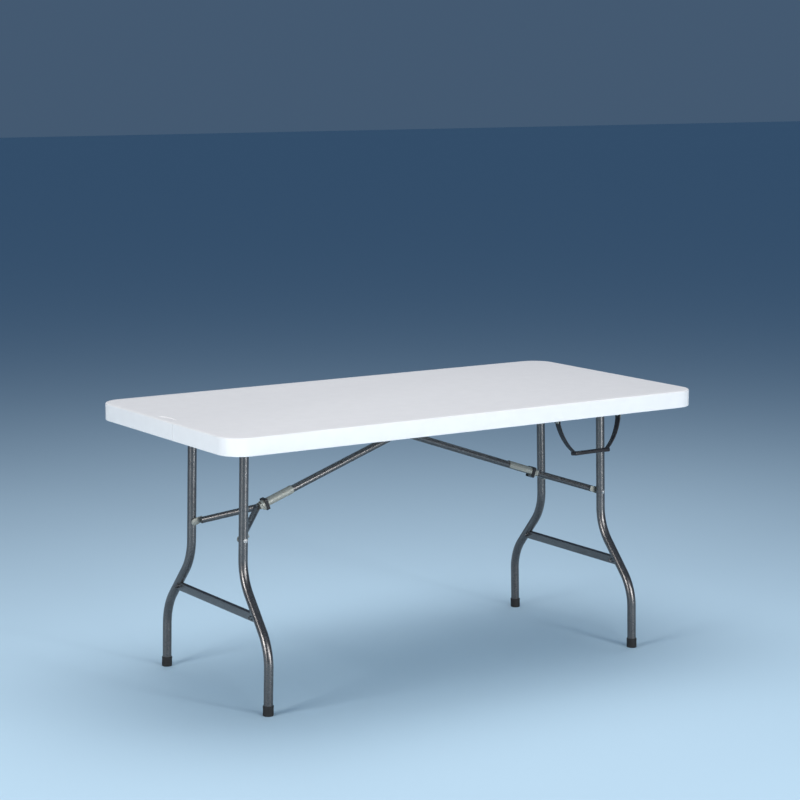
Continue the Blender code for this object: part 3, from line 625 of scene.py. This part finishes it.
for where, side in (("left", -1), ("right", 1)):
    body = f"{where}_brace"
    top_pin = Vector(joints[f"{where}_brace_swing"]["pos_m"])
    knuckle = Vector(joints[f"{where}_link_fold"]["pos_m"])
    slide = Vector(joints[f"{where}_ring_slide"]["axis"])
    along = -slide.normalized()
    run = (knuckle - top_pin).dot(along)
    line = [top_pin + along * reach for reach in (-TUBE_PAST_PIN, 0, run * 0.5, run - TUBE_STOP)]
    bm = swept(line, Vector((0, 1, 0)), circle(BRACE), ends=0.0008)
    piece(f"{where}_long_tube", bm, hammered_paint, body, [f"{where}_brace_tube"])
    normal = Vector((0, 1, 0)).cross(along)
    if normal.z < 0:
        normal = -normal
    centre = top_pin + along * run
    rows = []
    for reach, drop in channel_line:
        place = centre + along * reach
        rows.append([place + Vector((0, y, 0)) + normal * z for y, z in trough(drop)])
    piece(f"{where}_folded_channel", skin_open(rows), zinc_plate, body, [f"{where}_knuckle_channel"],
          sharp=38)
    keep_solid(f"{where}_brace_bracket", zinc_plate, 0.0005)
    for kind, holder in (("knuckle_pin", body), ("channel_rivet", body), ("brace_pin", "table")):
        solid = f"{where}_{kind}"
        low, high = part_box(solid)
        centre = (low + high) / 2
        half = (high.y - low.y) / 2
        head = 0.0044 if kind == "brace_pin" else 0.0025
        crown = 0.0016 if kind == "brace_pin" else 0.0002
        profile = [
            (-half, head * 0.45), (-half + crown * 0.4, head * 0.85), (-half + crown, head),
            (-half + crown, 0.0025), (half - crown, 0.0025), (half - crown, head),
            (half - crown * 0.4, head * 0.85), (half, head * 0.45),
        ]
        lathe(f"{solid}_round", centre, profile, plated_steel, holder, [solid])

# ---- Lock rings ----
# A black moulded sleeve that slides over the knuckle and holds the brace and the link in line.
ring_plastic = grained(
    "ring_plastic", (0.008, 0.008, 0.009), (0.016, 0.016, 0.017), (0.36, 0.50), 500, 0.00005,
    specular=0.3
)
for where in ("left", "right"):
    keep_solid(f"{where}_lock_ring", ring_plastic, 0.0006)

# ---- V links ----
# Two thin tubes meet in a zinc-plated tongue at the knuckle, and each ends in a flat plate on
# the inner side of a leg.
ARM = 0.009
LINK_REACH = 0.161  # from the knuckle pin to the link bolts
ARM_START = 0.0163
ARM_STOP = 0.0150  # from the arm's cut end to the link bolt
PLATE_ROUND = 0.0095
PLATE_TAIL = 0.0265  # from the bolt back to where the plate enters the arm


def tab(name, centre, along, normal, low_y, high_y, stands_for, body):
    """A flat steel tab with a round end about the bolt and a narrower tail towards the arm."""
    rows = []
    for y, inset in (
        (low_y, 0.0006), (low_y + 0.0002, 0.0002), (low_y + 0.0006, 0.0), (high_y - 0.0006, 0.0),
        (high_y - 0.0002, 0.0002), (high_y, 0.0006),
    ):
        radius = PLATE_ROUND - inset
        angles = [math.radians(-90 + 10 * k) for k in range(19)]
        outline = [(radius * math.cos(angle), radius * math.sin(angle)) for angle in angles]
        outline += [(-0.010, radius), (-PLATE_TAIL + inset, radius * 0.72)]
        outline += [(-PLATE_TAIL + inset, -radius * 0.72), (-0.010, -radius)]
        row = [centre + along * u + normal * v for u, v in outline]
        rows.append([Vector((point.x, y, point.z)) for point in row])
    piece(name, skin(rows), zinc_plate, body, [stands_for])


for where, side in (("left", -1), ("right", 1)):
    body = f"{where}_v_link"
    knuckle = Vector(joints[f"{where}_link_fold"]["pos_m"])
    slide = Vector(joints[f"{where}_ring_slide"]["axis"])
    along = -slide.normalized()
    normal = Vector((0, 1, 0)).cross(along) * side
    if normal.z < 0:
        normal = -normal
    keep_solid(f"{where}_link_tongue", zinc_plate, 0.0006)
    base = knuckle + normal * KNUCKLE_DROP
    for way, row in ((-1, "front"), (1, "rear")):
        solid = f"{where}_{row}_link_arm"
        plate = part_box(f"{where}_{row}_end_plate")
        face_y = plate[0].y if way == 1 else plate[1].y
        start = base + along * 0.020
        stop = base + along * 0.155
        stop.y = face_y
        line_way = (stop - start).normalized()
        line = [start - line_way * 0.004, (start + stop) / 2, stop + line_way * 0.012]
        bm = swept(line, normal, circle(ARM))
        cuts = (
            (base + Vector((0, way * 0.0002, 0)), Vector((0, -way, 0))),
            (base + along * ARM_START, -along),
            (Vector((0, face_y - way * CLEARANCE, 0)), Vector((0, way, 0))),
            (base + along * (LINK_REACH - ARM_STOP), along),
        )
        for point, out in cuts:
            everything = list(bm.verts) + list(bm.edges) + list(bm.faces)
            bmesh.ops.bisect_plane(
                bm, geom=everything, dist=1e-7, plane_co=point, plane_no=out, clear_outer=True
            )
            bmesh.ops.holes_fill(bm, edges=[edge for edge in bm.edges if edge.is_boundary], sides=0)
        piece(f"{where}_{row}_arm_tube", bm, hammered_paint, body, [solid])
        tab(f"{where}_{row}_bolt_tab", base + along * LINK_REACH, along, normal, plate[0].y, plate[1].y,
            f"{where}_{row}_end_plate", body)

# ---- Carry handle ----
# A black moulded strap hangs from two pins inside the front skirt, with a thicker grip round its
# lower run.
handle_plastic = grained(
    "handle_plastic", (0.010, 0.010, 0.013), (0.022, 0.021, 0.024), (0.36, 0.52), 640, 0.00005,
    specular=0.32
)
HANDLE_REST = math.radians(8)  # it stands this far out at rest
STRAP_HALF = 0.0015
ARM_SPREAD = 0.1055  # from the middle of the handle to each arm, at the pins and at the grip
GRIP_SPREAD = 0.0550
GRIP_DROP = 0.094
hinge = Vector(joints["handle_swing"]["pos_m"])
fall = Vector((0, -math.sin(HANDLE_REST), -math.cos(HANDLE_REST)))
breadth = Vector((0, math.cos(HANDLE_REST), -math.sin(HANDLE_REST)))
arm = [(ARM_SPREAD, -0.006, 0.0100), (ARM_SPREAD, 0.000, 0.0105), (ARM_SPREAD, 0.010, 0.0105)]
for i in range(1, 11):
    t = i / 10
    u = (1 - t) ** 2 * ARM_SPREAD + 2 * t * (1 - t) * 0.093 + t * t * GRIP_SPREAD
    v = (1 - t) ** 2 * 0.010 + 2 * t * (1 - t) * 0.062 + t * t * 0.0925
    arm.append((u, v, 0.0105 - 0.0025 * t))
arm.append((GRIP_SPREAD - 0.004, GRIP_DROP, 0.0080))
strap = [(-u, v, half) for u, v, half in arm] + arm[::-1]
rows = []
for i, (u, v, half) in enumerate(strap):
    before, after = strap[max(i - 1, 0)], strap[min(i + 1, len(strap) - 1)]
    run_way = Vector((after[0] - before[0], after[1] - before[1])).normalized()
    out_way = Vector((run_way.y, 0, 0)) - fall * run_way.x
    middle_point = hinge + Vector((u, 0, 0)) + fall * v
    section = rounded_outline(half, STRAP_HALF, 0.0011, 4)
    rows.append([middle_point + breadth * b + out_way * n for b, n in section])
piece("bowed_strap", skin(rows), handle_plastic, "handle", ["handle_strap"])

rows = []
for u, swell in (
    (-0.0605, 0.80), (-0.0602, 0.90), (-0.0593, 0.97), (-0.0575, 1.0), (-0.030, 0.95), (0.0, 0.93),
    (0.030, 0.95), (0.0575, 1.0), (0.0593, 0.97), (0.0602, 0.90), (0.0605, 0.80),
):
    middle_point = hinge + Vector((u, 0, 0)) + fall * GRIP_DROP
    section = rounded_outline(0.012, 0.0055, 0.0034, 6)
    rows.append([middle_point + (breadth * b - fall * n) * swell for b, n in section])
piece("grip_sleeve", skin(rows), handle_plastic, "handle", ["handle_grip"])
for where in ("left", "right"):
    keep_solid(f"handle_{where}_bracket", zinc_plate, 0.0004)
    keep_solid(f"handle_{where}_pin", plated_steel, 0.0003)

# ---- Leg clips ----
# Pale nylon hooks under the middle of the deck, which hold the folded legs.
natural_nylon = grained(
    "natural_nylon", (0.52, 0.50, 0.41), (0.62, 0.60, 0.50), (0.35, 0.48), 300, 0.00005
)
for row in ("front", "rear"):
    keep_solid(f"{row}_leg_clip", natural_nylon, 0.0005)
